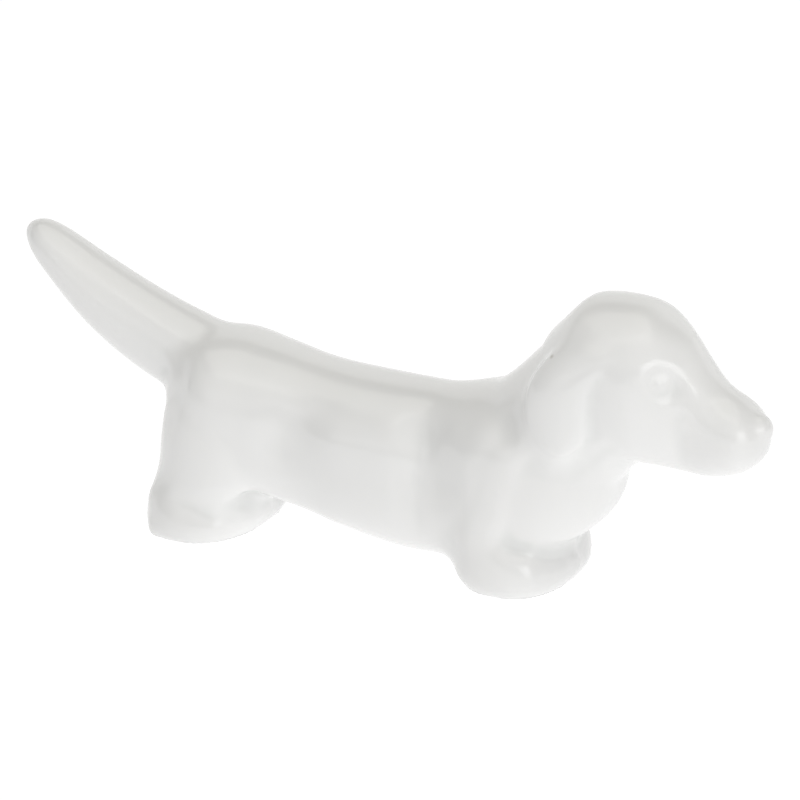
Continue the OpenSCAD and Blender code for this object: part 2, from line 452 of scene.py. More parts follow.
@dataclass(frozen=True)
class Wipe(Spot):
    """A place where the slip in a corner is wiped out again with a round tool.

    Attributes:
        radius: Radius of the tool in millimetres.
    """

    radius: float


@dataclass(frozen=True)
class Relief:
    """A low ridge of clay along a curve, or a shallow hollow, on both sides of the dog.

    Attributes:
        curve: Places along its middle, on the left side, in millimetres.
        height: Height over the skin, in millimetres, and negative for a hollow.
        width: Distance from the crest to the foot, in millimetres.
    """

    curve: tuple[Place, ...]
    height: float
    width: float

    def lift(self, points: np.ndarray) -> np.ndarray:
        """How far the relief raises the skin at points, in millimetres."""
        return self.height * fade(gap_to_curve(points, self.curve), 0.0, self.width)


BROW = Relief(
    curve=((36.1, 7.05, 30.6), (37.6, 5.7, 31.3), (39.2, 4.5, 30.4), (40.6, 4.05, 28.5)),
    height=0.21,
    width=2.3,
)
EAR_HEM = Relief(
    curve=(
        (32.2, 7.7, 31.8),
        (31.6, 8.4, 30.5),
        (30.6, 8.9, 29.0),
        (29.9, 9.2, 27.0),
        (29.5, 9.4, 24.0),
        (29.2, 9.3, 22.5),
    ),
    height=0.3,
    width=1.6,
)
FOREHEAD = Relief(curve=((37.0, 0.6, 35.2),), height=-0.45, width=4.5)
BARREL = Relief(curve=((-3.0, 8.2, 15.8), (6.0, 8.0, 15.8)), height=0.4, width=4.5)
FLANK = Relief(curve=((-10.5, 8.3, 13.5), (-9.5, 8.1, 16.0)), height=-0.35, width=4.5)
BELLY = Relief(curve=((-10.5, 5.5, 6.0), (-5.0, 5.6, 5.0)), height=0.4, width=3.5)
ARMPIT = Relief(curve=((9.0, 7.6, 17.5), (11.4, 8.5, 13.0)), height=-0.55, width=5.0)
SHOULDER = Relief(curve=((17.5, 8.3, 18.8), (20.5, 8.6, 18.8)), height=0.35, width=4.5)
CHEST = Relief(curve=((31.2, 0.0, 12.2),), height=-0.6, width=5.0)
TOES = Relief(curve=((25.8, 2.0, 3.0), (25.0, 6.0, 3.0)), height=-0.5, width=4.0)
HIND_TOES = Relief(curve=((-15.8, 1.5, 2.6),), height=-0.4, width=3.5)
RUMP = Relief(curve=((-24.6, 7.2, 20.0), (-25.0, 7.6, 17.5), (-25.6, 7.9, 15.0)), height=-0.35, width=3.0)
HOCK = Relief(curve=((-28.2, 8.3, 4.8),), height=0.55, width=2.8)
HEEL = Relief(curve=((-27.6, 10.0, 0.6),), height=0.5, width=2.5)

HEAD_RELIEFS = (BROW, EAR_HEM, FOREHEAD)
TRUNK_RELIEFS = (BARREL, FLANK, BELLY)
FRONT_RELIEFS = (ARMPIT, SHOULDER, CHEST, TOES)
REAR_RELIEFS = (HIND_TOES, RUMP, HOCK, HEEL)
RELIEFS = HEAD_RELIEFS + TRUNK_RELIEFS + FRONT_RELIEFS + REAR_RELIEFS

EYE = Spot(curve=((38.4, 6.1, 28.7),), core=2.9, edge=4.6)
NOSE_PAD = Spot(curve=((48.4, 0.0, 22.9),), core=2.6, edge=4.2)
UNDER_TAIL = Wipe(curve=((-28.5, 0.0, 16.5), (-28.5, 4.5, 16.5)), core=3.5, edge=6.0, radius=0.8)
INSTEP = Wipe(curve=((-14.5, 0.0, 4.0), (-14.5, 4.5, 4.0)), core=1.5, edge=7.0, radius=2.0)
THROAT = Wipe(curve=((35.5, 0.0, 16.0),), core=4.0, edge=8.0, radius=2.5)
FRONT_PAWS = Wipe(curve=((23.0, 0.0, 5.0), (23.0, 5.0, 5.0)), core=5.0, edge=9.0, radius=1.2)
EAR_FRONT = Wipe(
    curve=((33.0, 7.5, 31.5), (31.5, 8.8, 27.0), (30.0, 8.6, 23.5)),
    core=1.5,
    edge=5.5,
    radius=1.3,
)


@dataclass(frozen=True)
class Seam:
    """How a lump is luted to the clay that carries it.

    Attributes:
        lump: What is pressed on.
        fillet: Radius of the slip in the corner, in millimetres.
        wipes: Where the slip is wiped out again.
        core: Distance from both sides of the corner within which all slip stays, as a share of the fillet.
        edge: Distance from which no slip stays, as a share of the fillet.
    """

    lump: Lump
    fillet: float
    wipes: tuple[Wipe, ...]
    core: float = 0.8
    edge: float = 1.1

    def share(self, apart: np.ndarray) -> np.ndarray:
        """How much of the slip stays at distances from the farther side of the corner."""
        return fade(apart, self.core * self.fillet, self.edge * self.fillet)


SEAMS = (
    Seam(Lump.TAIL, fillet=5.0, wipes=(UNDER_TAIL,)),
    Seam(Lump.HIND_LEGS, fillet=5.5, wipes=(INSTEP, UNDER_TAIL)),
    Seam(Lump.HEAD, fillet=5.5, wipes=(THROAT,)),
    Seam(Lump.FRONT_LEGS, fillet=4.5, wipes=(FRONT_PAWS,)),
    Seam(Lump.EARS, fillet=5.0, wipes=(EAR_FRONT,)),
)


@dataclass
class GlazedSkin:
    """The one smooth surface over all members, and how it divides among them.

    Attributes:
        fine_fillet: Radius of the corners round the eyes and the nose pad.
        glaze_fillet: Radius to which the glaze alone fills the finest corners.
        polish: Rounds of smoothing with the sponge.
        broad_polish: Further rounds on the trunk.
        nose_care: Share of the smoothing that the nose pad is spared.
        trunk_core: Distance from the trunk within which the further rounds count in full.
        trunk_edge: Distance from the trunk from which they no longer count.
        seam_rounds: Rounds of straightening along the seams.
        seam_pull: Share of the way to its neighbours that a point of a seam goes in a round.
        sole_height: Clay below this height is the flat of a sole, in millimetres.
        block: Voxels that the skin is drawn from.
        lumps: Distances to each lump before it is luted on.
        points: Points of the skin, in millimetres.
        quads: Faces of the skin, as rows of four indices.
        edges: Edges of the skin, as rows of two indices.
        labels: Index of the member that each face belongs to.
        normals: How the skin faces at each point.
        hollows: Share of gathered glaze and of painted shade at each point.
    """

    fine_fillet: float = 2.2
    glaze_fillet: float = 0.9
    polish: int = 14
    broad_polish: int = 40
    nose_care: float = 0.4
    trunk_core: float = 0.3
    trunk_edge: float = 1.5
    seam_rounds: int = 12
    seam_pull: float = 0.6
    sole_height: float = 0.12
    quick_voxel: float = 0.6
    block: ClayBlock = field(init=False)
    lumps: dict[Lump, np.ndarray] = field(init=False)
    points: np.ndarray = field(init=False)
    quads: np.ndarray = field(init=False)
    edges: np.ndarray = field(init=False)
    labels: np.ndarray = field(init=False)
    normals: np.ndarray = field(init=False)
    hollows: np.ndarray = field(init=False)

    def build(self) -> None:
        """Lute the members together and draw the skin over them."""
        self.block = ClayBlock()
        self.lumps = {}
        for lump in Lump:
            facets = Facets.of(lump).rounded()
            self.lumps[lump] = self.block.distances(facets.points, facets.triangles)
        values = self.luted()
        points, self.quads = self.block.surface(values)
        self.points = self.block.settled(values, points)
        self.turn_outward()
        self.edges = self.all_edges()
        self.smooth_points()
        self.labels = self.divided()
        self.straighten_seams()
        self.normals = self.vertex_normals()
        self.hollows = self.hollow_shares()
        LOG.info("skin: %d points, %d faces", len(self.points), len(self.quads))

    def luted(self) -> np.ndarray:
        """Join the lumps one after the other, each with its own fillet, and work the reliefs in.

        Returns:
            Distances to the joined figure.
        """
        block, lumps = self.block, self.lumps
        places = block.places()
        values = lumps[Lump.TRUNK]
        for seam in SEAMS:
            joined = np.minimum(values, lumps[seam.lump])
            slip = block.filleted(joined, seam.fillet)
            for wipe in seam.wipes:
                slip += wipe.share(places) * (block.filleted(joined, wipe.radius) - slip)
            beside = seam.share(np.maximum(values, lumps[seam.lump]))
            values = joined + beside * (slip - joined)
        fine = block.filleted(lumps[Lump.HEAD], self.fine_fillet)
        for spot in (EYE, NOSE_PAD):
            values += spot.share(places) * (fine - values)
        near = np.abs(values) < block.depth
        values[near] -= sum(relief.lift(places[near]) for relief in RELIEFS)
        return block.filleted(values, self.glaze_fillet)

    def face_normals(self) -> np.ndarray:
        """Find how each face of the skin lies.

        Returns:
            Rows of normals, each as long as twice the area of its face.
        """
        a, b, c, d = (self.points[self.quads[:, k]] for k in range(4))
        return np.cross(c - a, d - b)

    def turn_outward(self) -> None:
        """Turn the faces over if they face inward."""
        if (self.face_normals() * self.points[self.quads].sum(1)).sum() < 0:
            self.quads = self.quads[:, ::-1]

    def all_edges(self) -> np.ndarray:
        """List each edge of the skin once.

        Returns:
            Rows of two indices, the lower first.
        """
        return np.unique(np.sort(sides(self.quads), axis=1), axis=0)

    def neighbour_mean(self, values: np.ndarray, edges: np.ndarray) -> np.ndarray:
        """Average each point's neighbours.

        Args:
            values: One row for each point.
            edges: Which points are neighbours.

        Returns:
            The averages, and a point's own row where it has no neighbour.
        """
        total = np.zeros_like(values)
        count = np.bincount(edges.ravel(), minlength=len(values)).astype(float)
        for k in range(values.shape[1]):
            total[:, k] = np.bincount(edges[:, 0], values[edges[:, 1], k], len(values))
            total[:, k] += np.bincount(edges[:, 1], values[edges[:, 0], k], len(values))
        return np.where(count[:, None] > 0, total / np.maximum(count, 1)[:, None], values)

    def smooth_points(self, shrink: float = 0.5, swell: float = -0.52, broad_swell: float = -0.503) -> None:
        """Sponge the skin smooth, gently at the nose, and keep the soles flat.

        Args:
            shrink: Share of the way to the neighbours in the first half of a round.
            swell: Share of the way back in the second half, so that nothing shrinks.
            broad_swell: The same on the trunk, which is sponged more broadly.
        """
        sole = self.points[:, 2] < self.sole_height
        ease = (1.0 - self.nose_care * NOSE_PAD.share(self.points))[:, None]
        gaps = self.block.sample(self.lumps[Lump.TRUNK], self.points)
        trunk = fade(gaps, self.trunk_core, self.trunk_edge)[:, None]
        steps = [(shrink * ease, self.polish), (shrink * trunk, self.broad_polish)]
        for (first, rounds), second in zip(steps, (swell / shrink, broad_swell / shrink)):
            for _ in range(rounds):
                for share in (first, second * first):
                    self.points += share * (self.neighbour_mean(self.points, self.edges) - self.points)
                self.points[sole, 2] = 0.0
        self.points[:, 2] = np.maximum(self.points[:, 2], 0.0)

    def face_pairs(self) -> tuple[np.ndarray, np.ndarray]:
        """Find which faces meet at each edge.

        Returns:
            Rows of two faces, and the edge that they share as rows of two points.
        """
        pairs = sides(self.quads)
        faces = np.tile(np.arange(len(self.quads)), 4)
        low, high = pairs.min(1), pairs.max(1)
        order = np.lexsort((high, low))
        low, high, faces = low[order], high[order], faces[order]
        same = (low[1:] == low[:-1]) & (high[1:] == high[:-1])
        first = np.flatnonzero(same)
        return np.stack([faces[first], faces[first + 1]], 1), np.stack([low[first], high[first]], 1)

    def divided(self, rounds: int = 10, own_vote: float = 1.5) -> np.ndarray:
        """Give each face to the member that lies nearest to it.

        Args:
            rounds: How often a face follows the most of its neighbours.
            own_vote: Weight of the face's own member against one neighbour's.

        Returns:
            One index into the members for each face.
        """
        members = list(Member)
        middles = self.points[self.quads].mean(1)
        gaps = np.stack([self.block.sample(self.lumps[lump], middles) for lump in Lump])
        nearest = gaps.argmin(0)
        sides = np.array([[members.index(lump.on_side(left)) for left in (False, True)] for lump in Lump])
        labels = sides[nearest, (middles[:, 1] > 0).astype(int)]
        beside, _ = self.face_pairs()
        for _ in range(rounds):
            votes = np.zeros((len(labels), len(members)))
            np.add.at(votes, (beside[:, 0], labels[beside[:, 1]]), 1.0)
            np.add.at(votes, (beside[:, 1], labels[beside[:, 0]]), 1.0)
            votes[np.arange(len(labels)), labels] += own_vote
            labels = votes.argmax(1)
        return self.without_islands(labels, beside)

    def without_islands(self, labels: np.ndarray, beside: np.ndarray) -> np.ndarray:
        """Give stray patches to the member round them.

        Args:
            labels: One member for each face.
            beside: Rows of two faces that meet.

        Returns:
            Labels in which each member is one patch.
        """
        while True:
            inner = beside[labels[beside[:, 0]] == labels[beside[:, 1]]]
            patch = np.arange(len(labels))
            while True:
                lower = patch.copy()
                np.minimum.at(lower, inner[:, 0], patch[inner[:, 1]])
                np.minimum.at(lower, inner[:, 1], patch[inner[:, 0]])
                lower = lower[lower]
                if (lower == patch).all():
                    break
                patch = lower
            names, sizes = np.unique(patch, return_counts=True)
            largest = {}
            for name, size in zip(names, sizes):
                label = labels[name]
                if size > largest.get(label, (0, 0))[0]:
                    largest[label] = (size, name)
            kept = np.isin(patch, [name for _, name in largest.values()])
            if kept.all():
                return labels
            labels = labels.copy()
            for one, other in ((0, 1), (1, 0)):
                touching = ~kept[beside[:, one]] & kept[beside[:, other]]
                labels[beside[touching, one]] = labels[beside[touching, other]]

    def straighten_seams(self) -> None:
        """Draw each seam as a smooth line on the skin."""
        beside, shared = self.face_pairs()
        across = self.labels[beside[:, 0]] != self.labels[beside[:, 1]]
        seam = shared[across]
        pair = np.sort(self.labels[beside[across]], axis=1)
        count = np.bincount(seam.ravel(), minlength=len(self.points))
        loose = (count == 2)[:, None]
        normals = self.vertex_normals()
        start = self.points
        for _ in range(self.seam_rounds):
            target = self.neighbour_mean(self.points, seam)
            drawn = (1.0 - self.seam_pull) * self.points + self.seam_pull * target
            self.points = np.where(loose, drawn, self.points)
        step = self.points - start
        self.points = start + step - (step * normals).sum(1, keepdims=True) * normals
        members = list(Member)
        for lump in (Lump.HIND_LEGS, Lump.FRONT_LEGS):
            ends = sorted(members.index(member) for member in lump.value)
            middle = np.unique(seam[(pair == ends).all(1)])
            self.points[middle, 1] = 0.0

    def vertex_normals(self, rounds: int = 3, down: float = -0.8) -> np.ndarray:
        """Find how the skin faces at each point.

        Args:
            rounds: How often the normals are averaged with their neighbours.
            down: Height of a normal below which a point on the table belongs to a sole.

        Returns:
            Rows of unit normals.
        """
        across = self.face_normals()
        normals = np.zeros_like(self.points)
        for k in range(4):
            np.add.at(normals, self.quads[:, k], across)
        normals = unit(normals)
        flat = (self.points[:, 2] < ON_TABLE) & (normals[:, 2] < down)
        for _ in range(rounds):
            normals = unit(normals + self.neighbour_mean(normals, self.edges))
            normals[flat] = (0.0, 0.0, -1.0)
        return normals

    def hollow_shares(self, rounds: int = 12, deep: float = 0.35, neighbours: float = 4.0) -> np.ndarray:
        """Find where glaze gathers and where shade is painted into the hollows, from how hollow the skin is.

        Args:
            rounds: How far the measure is spread to the neighbours.
            deep: Curve of a hollow that counts as full, per millimetre.
            neighbours: How many neighbours a point of the skin mostly has.

        Returns:
            One share from 0 to 1 for each point.
        """
        lift = self.neighbour_mean(self.points, self.edges) - self.points
        curve = (lift * self.normals).sum(1, keepdims=True) / self.block.voxel**2 * neighbours
        for _ in range(rounds):
            curve = (curve + self.neighbour_mean(curve, self.edges)) / 2
        return np.clip(curve[:, 0] / deep, 0.0, 1.0)


class Nodes:
    """Short ways to add and join the nodes of one shader."""

    def __init__(self, owner: Material | bpy.types.World) -> None:
        """Start with an empty tree.

        Args:
            owner: The material or the room that the shader belongs to.
        """
        owner.use_nodes = True
        self.tree = owner.node_tree
        self.tree.nodes.clear()

    def add(self, kind: str, values: Optional[dict] = None, **settings: object) -> bpy.types.Node:
        """Add a node.

        Args:
            kind: The node's type name.
            values: Input names or positions with their fixed values.
            **settings: Properties of the node.

        Returns:
            The new node.
        """
        node = self.tree.nodes.new(kind)
        for name, value in settings.items():
            setattr(node, name, value)
        for socket, value in (values or {}).items():
            node.inputs[socket].default_value = value
        return node

    def join(self, source: Socket, target: Socket) -> None:
        """Lead one socket into another."""
        self.tree.links.new(source, target)

    def show(self, surface: Socket, kind: str = "ShaderNodeOutputMaterial") -> None:
        """Make a socket the result of the whole shader."""
        self.join(surface, self.add(kind).inputs["Surface"])

    def noise(self, place: Socket, size: float, detail: float = 2.0) -> Socket:
        """Add cloudy noise.

        Args:
            place: Where the noise is read.
            size: Size of its clouds in metres.
            detail: How many finer layers it has.

        Returns:
            The noise as a number from 0 to 1.
        """
        node = self.add("ShaderNodeTexNoise", {"Scale": 1.0 / size, "Detail": detail, "Roughness": 0.5})
        self.join(place, node.inputs["Vector"])
        return node.outputs["Fac"]

    def ranged(self, source: Socket, ends: Range, results: Range = (0.0, 1.0)) -> Socket:
        """Turn one range of numbers into another.

        Args:
            source: The number.
            ends: Its ends.
            results: What the ends become.

        Returns:
            The new number.
        """
        values = {"From Min": ends[0], "From Max": ends[1], "To Min": results[0], "To Max": results[1]}
        node = self.add("ShaderNodeMapRange", values)
        self.join(source, node.inputs["Value"])
        return node.outputs["Result"]

    def bumped(
        self, pattern: Socket, height: float, strength: float = 1.0, under: Optional[Socket] = None
    ) -> Socket:
        """Raise a pattern from the surface.

        Args:
            pattern: The pattern as a number from 0 to 1.
            height: Height of the pattern in metres.
            strength: How strongly it turns the light.
            under: Normal of a raised pattern under this one.

        Returns:
            The normal of the raised surface.
        """
        node = self.add("ShaderNodeBump", {"Strength": strength, "Distance": height})
        self.join(pattern, node.inputs["Height"])
        if under is not None:
            self.join(under, node.inputs["Normal"])
        return node.outputs["Normal"]

    def mixed(self, share: Socket, one: Socket | Colour, other: Socket | Colour) -> Socket:
        """Mix two colours.

        Args:
            share: Share of the second colour.
            one: First colour, fixed or from a node.
            other: Second colour, fixed or from a node.

        Returns:
            The mixed colour.
        """
        node = self.add("ShaderNodeMix", data_type="RGBA")
        self.join(share, node.inputs["Factor"])
        for position, value in zip(MIX_COLOURS, (one, other)):
            if isinstance(value, tuple):
                node.inputs[position].default_value = (*value, 1.0)
            else:
                self.join(value, node.inputs[position])
        return node.outputs[MIX_RESULT]


@dataclass(frozen=True)
class GlossGlaze:
    """Clear gloss glaze over white porcelain.

    Attributes:
        colour: Colour where the glaze is of even thickness.
        thin: Colour where it has run thin.
        pooled_and_shaded: Colour where glaze has gathered in a hollow, darker also as painted shade in the
            creases.
        dark_spot: Colour of a small dark spot near the rear edge of the ear.
        roughness: Lowest and highest roughness.
        cloud: Size of the patches of thicker and thinner glaze, in metres.
        cloud_layers: Layers of finer patches in them.
        thin_clouds: Noise of the patches where the thin colour starts and where it is full.
        rough_clouds: Noise of the patches with the lowest and with the highest roughness.
        peel: Size of the fine waves on the glaze, in metres.
        peel_height: Height of those waves, in metres.
        sway: Size of the slow waves left by the hand, in metres.
        sway_height: Height of those waves, in metres.
        wave_layers: Layers of finer waves in both.
        dark_spot_place: Where the dark spot is, in metres.
        dark_spot_radius: Radius of the dark spot, in metres.
        dark_spot_core: Share of that radius within which the dark spot has its full colour.
        ior: Refractive index of the glaze.
    """

    colour: Colour = (0.863, 0.863, 0.857)
    thin: Colour = (0.877, 0.875, 0.867)
    pooled_and_shaded: Colour = (0.805, 0.81, 0.80)
    dark_spot: Colour = (0.62, 0.6, 0.57)
    roughness: Range = (0.14, 0.22)
    cloud: float = 0.012
    cloud_layers: float = 3.0
    thin_clouds: Range = (0.35, 0.7)
    rough_clouds: Range = (0.3, 0.7)
    peel: float = 0.0011
    peel_height: float = 0.000004
    sway: float = 0.007
    sway_height: float = 0.00006
    wave_layers: float = 1.0
    dark_spot_place: Place = (0.0255, -0.0079, 0.0308)
    dark_spot_radius: float = 0.0004
    dark_spot_core: float = 0.2
    ior: float = 1.5

    def material(self) -> Material:
        """Make the material.

        Returns:
            The glaze as a Blender material.
        """
        material = bpy.data.materials.new("gloss_glaze")
        nodes = Nodes(material)
        place = nodes.add("ShaderNodeTexCoord").outputs["Object"]
        shader = nodes.add("ShaderNodeBsdfPrincipled", {"IOR": self.ior})
        nodes.show(shader.outputs["BSDF"])
        clouds = nodes.noise(place, self.cloud, self.cloud_layers)
        hollow = nodes.add("ShaderNodeAttribute", attribute_name="hollow").outputs["Fac"]
        colour = nodes.mixed(nodes.ranged(clouds, self.thin_clouds), self.colour, self.thin)
        # Hollows darker: a tint of pooled glaze and painted shade in the creases.
        colour = nodes.mixed(hollow, colour, self.pooled_and_shaded)
        # A small dark spot near the rear edge of the ear.
        colour = nodes.mixed(self.dark_spot_share(nodes, place), colour, self.dark_spot)
        nodes.join(colour, shader.inputs["Base Color"])
        nodes.join(nodes.ranged(clouds, self.rough_clouds, self.roughness), shader.inputs["Roughness"])
        nodes.join(self.waves(nodes, place), shader.inputs["Normal"])
        return material

    def dark_spot_share(self, nodes: Nodes, place: Socket) -> Socket:
        """Set a small dark spot near the rear edge of the ear.

        Args:
            nodes: The shader's nodes.
            place: Where the pattern is read.

        Returns:
            1 in the dark spot and 0 elsewhere.
        """
        away = nodes.add("ShaderNodeVectorMath", {1: self.dark_spot_place}, operation="DISTANCE")
        nodes.join(place, away.inputs[0])
        ends = (self.dark_spot_radius, self.dark_spot_core * self.dark_spot_radius)
        return nodes.ranged(away.outputs["Value"], ends)

    def waves(self, nodes: Nodes, place: Socket) -> Socket:
        """Raise the slow and fine waves of the glaze.

        Args:
            nodes: The shader's nodes.
            place: Where the waves are read.

        Returns:
            The normal of the wavy glaze.
        """
        slow = nodes.noise(place, self.sway, self.wave_layers)
        fine = nodes.noise(place, self.peel, self.wave_layers)
        return nodes.bumped(fine, self.peel_height, under=nodes.bumped(slow, self.sway_height))


@dataclass(frozen=True)
class BareBisque:
    """Unglazed porcelain on the soles, wiped clean before firing.

    Attributes:
        colour: Colour of the clay.
        stain: Colour where it has taken up dirt.
        roughness: Lowest and highest roughness.
        grain: Size of the grains, in metres.
        grain_height: Height of the grains, in metres.
        grain_strength: How strongly the grains turn the light.
        rough_grains: Noise of the grains with the lowest and with the highest roughness.
        cloud: Size of the stained patches, in metres.
        cloud_layers: Layers of finer patches in them.
        stain_clouds: Noise of the patches where the stain starts and where it is strongest.
        stain_shares: Share of the stain at those two.
    """

    colour: Colour = (0.79, 0.775, 0.735)
    stain: Colour = (0.66, 0.635, 0.585)
    roughness: Range = (0.65, 0.85)
    grain: float = 0.0003
    grain_height: float = 0.00003
    grain_strength: float = 0.8
    rough_grains: Range = (0.3, 0.7)
    cloud: float = 0.003
    cloud_layers: float = 4.0
    stain_clouds: Range = (0.45, 0.75)
    stain_shares: Range = (0.0, 0.6)

    def material(self) -> Material:
        """Make the material.

        Returns:
            The bare clay as a Blender material.
        """
        material = bpy.data.materials.new("bare_bisque")
        nodes = Nodes(material)
        place = nodes.add("ShaderNodeTexCoord").outputs["Object"]
        shader = nodes.add("ShaderNodeBsdfPrincipled")
        nodes.show(shader.outputs["BSDF"])
        clouds = nodes.noise(place, self.cloud, self.cloud_layers)
        stains = nodes.ranged(clouds, self.stain_clouds, self.stain_shares)
        nodes.join(nodes.mixed(stains, self.colour, self.stain), shader.inputs["Base Color"])
        grains = nodes.noise(place, self.grain)
        nodes.join(nodes.ranged(grains, self.rough_grains, self.roughness), shader.inputs["Roughness"])
        raised = nodes.bumped(grains, self.grain_height, self.grain_strength)
        nodes.join(raised, shader.inputs["Normal"])
        return material


@dataclass
class ClayPiece:
    """One member of the figure: its share of the skin with a wall behind it.

    Attributes:
        member: Which member it is.
        wall: Thickness of the wall in millimetres.
        sole_wall: Lowest height of the wall's inside over the table, in millimetres.
        bare: Which faces are unglazed.
        piece: The finished piece.
    """

    member: Member
    wall: float = 0.8
    sole_wall: float = 0.4
    bare: np.ndarray = field(init=False)
    piece: bpy.types.Object = field(init=False)

    def build(self, skin: GlazedSkin) -> bpy.types.Object:
        """Make the closed shell of this member.

        Args:
            skin: The skin over the whole figure.

        Returns:
            The piece, in place and riding on the figure's body.
        """
        mine = skin.quads[skin.labels == list(Member).index(self.member)]
        used, index = np.unique(mine, return_inverse=True)
        outer = index.reshape(-1, 4)
        count = len(used)
        points, normals = skin.points[used], skin.normals[used]
        inner_points = points - self.wall * normals
        inner_points[:, 2] = np.maximum(inner_points[:, 2], self.sole_wall)
        rim = self.rim(outer)
        walls = np.stack([rim[:, 1], rim[:, 0], rim[:, 0] + count, rim[:, 1] + count], 1)
        faces = np.concatenate([outer, outer[:, ::-1] + count, walls])
        mesh = bpy.data.meshes.new(f"glazed_{self.member.value}")
        mesh.from_pydata((np.concatenate([points, inner_points]) * MM).tolist(), [], faces.tolist())
        mesh.shade_smooth()
        mesh.normals_split_custom_set_from_vertices(np.concatenate([normals, -normals]).tolist())
        # The hollow shares darken the glaze in the creases: pooled glaze and painted shade.
        hollow = mesh.attributes.new("hollow", "FLOAT", "POINT")
        shares = np.concatenate([skin.hollows[used], np.zeros(count)])
        hollow.data.foreach_set("value", shares.astype(np.float32))
        self.bare = np.zeros(len(faces), np.int32)
        self.bare[: len(outer)] = (points[outer, 2] < ON_TABLE).all(1)
        piece = placed(mesh)
        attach(piece, BODY)
        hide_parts(self.member.value)
        self.piece = piece
        return piece

    def rim(self, outer: np.ndarray) -> np.ndarray:
        """Find the open edge of this member's share of the skin.

        Args:
            outer: Rows of four indices.

        Returns:
            Rows of two indices, in the direction that the faces run.
        """
        pairs = sides(outer)
        _, first, times = np.unique(np.sort(pairs, axis=1), axis=0, return_index=True, return_counts=True)
        return pairs[first[times == 1]]

    def dress(self, glaze: Material, bisque: Material) -> None:
        """Glaze the piece, and leave the soles bare.

        Args:
            glaze: The material all over.
            bisque: The material of the soles.
        """
        mesh = self.piece.data
        mesh.materials.append(glaze)
        if self.bare.any():
            mesh.materials.append(bisque)
            mesh.polygons.foreach_set("material_index", self.bare)


@dataclass
class Figure:
    """The standing dog: one skin, and nine members under it.

    Attributes:
        skin: The skin over the whole figure.
        pieces: One piece for each member.
    """

    skin: GlazedSkin = field(default_factory=GlazedSkin)
    pieces: list[ClayPiece] = field(default_factory=lambda: [ClayPiece(member) for member in Member])

    def build(self) -> None:
        """Make the skin and every member's piece."""
        self.skin.build()
        for piece in self.pieces:
            made = piece.build(self.skin)
            LOG.info("piece %s: %d faces", made.name, len(made.data.polygons))

    def dress(self) -> None:
        """Give every piece its finishes."""
        glaze, bisque = GlossGlaze().material(), BareBisque().material()
        for piece in self.pieces:
            piece.dress(glaze, bisque)


def direction(turn: float, rise: float) -> Vector:
    """Point from the figure to a place in the studio.

    Args:
        turn: Degrees round from the dog's right flank towards its nose.
        rise: Degrees above the table.

    Returns:
        A vector of length 1.
    """
    a, e = math.radians(turn), math.radians(rise)
    return Vector((math.sin(a) * math.cos(e), -math.cos(a) * math.cos(e), math.sin(e)))


def stand(item: bpy.types.Object, aim: Vector, away: float, back: Vector, roll: float = 0.0) -> None:
    """Stand a light or the camera so that it looks at a point.

    Args:
        item: The light or the camera.
        aim: What it looks at.
        away: Distance from there in metres.
        back: Direction from there to the item.
        roll: Degrees to the left round its line of sight.
    """
    item.location = aim + away * back
    item.rotation_mode = "QUATERNION"
    level = (-back).to_track_quat("-Z", "Y")
    item.rotation_quaternion = level @ Quaternion((0.0, 0.0, 1.0), math.radians(roll))


@dataclass(frozen=True)
class Softbox:
    """A flat soft light that looks at the figure.

    Attributes:
        name: Name of the light.
        turn: Degrees round from the dog's right flank towards its nose.
        rise: Degrees above the table.
        away: Distance from the figure in metres.
        width: Width in metres.
        height: Height in metres.
        watts: Power.
        colour: Colour of the light.
    """

    name: str
    turn: float
    rise: float
    away: float
    width: float
    height: float
    watts: float
    colour: Colour = (1.0, 1.0, 1.0)

    def build(self, aim: Vector) -> None:
        """Hang the light.

        Args:
            aim: What it looks at.
        """
        data = bpy.data.lights.new(self.name, "AREA")
        data.shape = "RECTANGLE"
        data.size = self.width
        data.size_y = self.height
        data.energy = self.watts
        data.color = self.colour
        stand(placed(data), aim, self.away, direction(self.turn, self.rise))


WARM_WHITE = (1.0, 0.99, 0.94)
SOFTBOXES = (
    Softbox("front", turn=22, rise=40, away=0.9, width=1.8, height=0.6, watts=1.1),
    Softbox("front_scrim", turn=22, rise=40, away=0.91, width=2.6, height=0.9, watts=2.4),
    Softbox("nose", turn=66, rise=14, away=0.9, width=0.5, height=0.4, watts=1.65),
    Softbox("top", turn=26, rise=84, away=0.9, width=1.2, height=1.0, watts=4.8, colour=WARM_WHITE),
    Softbox("flank", turn=-20, rise=12, away=0.9, width=0.4, height=0.35, watts=0.27),
)


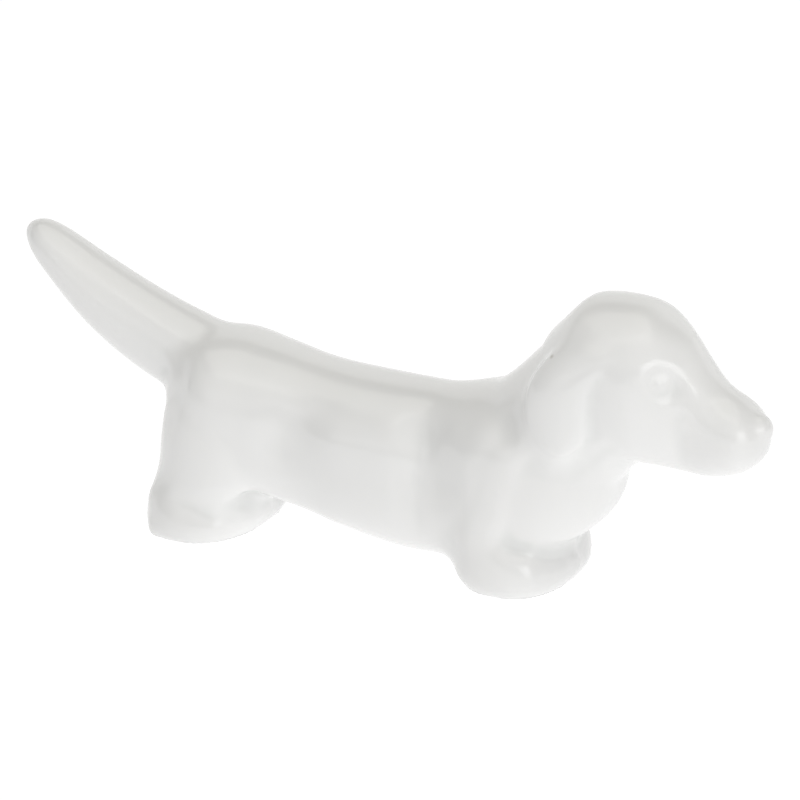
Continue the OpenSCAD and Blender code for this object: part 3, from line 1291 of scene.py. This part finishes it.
@dataclass
class Studio:
    """White paper sweep, soft lights and the camera.

    Attributes:
        paper_width: Width of the paper in metres.
        paper_front: How far the paper reaches towards the camera, in metres.
        paper_back: How far behind the figure the paper hangs, in metres.
        paper_bend: Radius of the bend where the paper rises, in metres.
        paper_top: Height to which the paper hangs, in metres.
        paper_gap: How far the paper lies under the soles, in metres.
        paper_colour: Share of the lamps' light that the paper throws back, which keeps the shadow.
        glow: Brightness of the paper, which is lit from behind.
        room: Brightness of the room round the paper.
        aim: Point that the camera looks at, in millimetres.
        camera_turn: Camera's degrees round from the right flank towards the nose.
        camera_rise: Camera's degrees above the table.
        camera_roll: Camera's degrees to the left round its line of sight.
        camera_away: Camera's distance in metres.
        focal_pixels: Focal length in pixels of the photograph.
        sensor: Width of the camera's sensor in millimetres.
        camera_nearest: Nearest distance that the camera sees, in metres.
        lights: The softboxes.
    """

    paper_width: float = 6.0
    paper_front: float = 3.0
    paper_back: float = 1.2
    paper_bend: float = 0.4
    paper_top: float = 1.15
    paper_gap: float = 0.00002
    paper_colour: Colour = (0.2, 0.2, 0.2)
    glow: float = 0.9
    room: float = 0.02
    aim: Place = (1.22, 1.26, 18.57)
    camera_turn: float = 26.7
    camera_rise: float = 20.0
    camera_roll: float = -0.2
    camera_away: float = 0.5
    focal_pixels: float = 4129.0
    sensor: float = 36.0
    camera_nearest: float = 0.01
    lights: tuple[Softbox, ...] = SOFTBOXES

    def build(self) -> None:
        """Hang the paper and the lights, and stand the camera."""
        bpy.context.scene.view_settings.view_transform = "Standard"
        self.build_paper()
        self.build_room()
        for light in self.lights:
            light.build(Vector(self.aim) * MM)
        self.build_camera()

    def build_paper(self, bend_steps: int = 12) -> None:
        """Lay the white paper under the soles and let it rise behind the figure.

        Args:
            bend_steps: How many strips the bend has.
        """
        turns = [math.pi / 2 * k / bend_steps for k in range(bend_steps + 1)]
        start = self.paper_back - self.paper_bend
        bend = [(start + self.paper_bend * math.sin(t), self.paper_bend * (1.0 - math.cos(t))) for t in turns]
        profile = [(-self.paper_front, 0.0), *bend, (self.paper_back, self.paper_top)]
        away = direction(self.camera_turn + 180.0, 0.0)
        side = Vector((-away.y, away.x, 0.0)) * (self.paper_width / 2)
        rows = [away * along + Vector((0.0, 0.0, up - self.paper_gap)) for along, up in profile]
        points = [row + edge for row in rows for edge in (-side, side)]
        strips = [(2 * k, 2 * k + 2, 2 * k + 3, 2 * k + 1) for k in range(len(profile) - 1)]
        mesh = bpy.data.meshes.new("white_paper")
        mesh.from_pydata(points, [], strips)
        paper = placed(mesh)
        mesh.materials.append(self.paper_material())

    def paper_material(self) -> Material:
        """Make the paper that is lit from behind, with a light shadow under the figure.

        Returns:
            The paper as a Blender material.
        """
        material = bpy.data.materials.new("white_paper")
        nodes = Nodes(material)
        plain = nodes.add("ShaderNodeBsdfDiffuse", {"Color": (*self.paper_colour, 1.0)})
        glow = nodes.add("ShaderNodeEmission", {"Strength": self.glow})
        both = nodes.add("ShaderNodeAddShader")
        nodes.join(glow.outputs["Emission"], both.inputs[0])
        nodes.join(plain.outputs["BSDF"], both.inputs[1])
        nodes.show(both.outputs["Shader"])
        return material

    def build_room(self) -> None:
        """Fill the room with even grey light."""
        world = bpy.data.worlds.new("room")
        nodes = Nodes(world)
        background = nodes.add("ShaderNodeBackground", {"Color": (1.0, 1.0, 1.0, 1.0), "Strength": self.room})
        nodes.show(background.outputs["Background"], "ShaderNodeOutputWorld")
        bpy.context.scene.world = world

    def build_camera(self) -> None:
        """Stand the camera where the photograph was taken from."""
        data = bpy.data.cameras.new("camera")
        data.sensor_width = self.sensor
        data.lens = self.focal_pixels / PHOTO_WIDTH * self.sensor
        data.clip_start = self.camera_nearest
        camera = placed(data)
        back = direction(self.camera_turn, self.camera_rise)
        stand(camera, Vector(self.aim) * MM, self.camera_away, back, self.camera_roll)
        bpy.context.scene.camera = camera


def main() -> None:
    """Build the figure and its studio."""
    logging.basicConfig(level=logging.INFO, format="%(name)s: %(message)s")
    studio = Studio()
    studio.build()
    figure = Figure()
    figure.build()
    figure.dress()


if __name__ == "__main__":
    main()
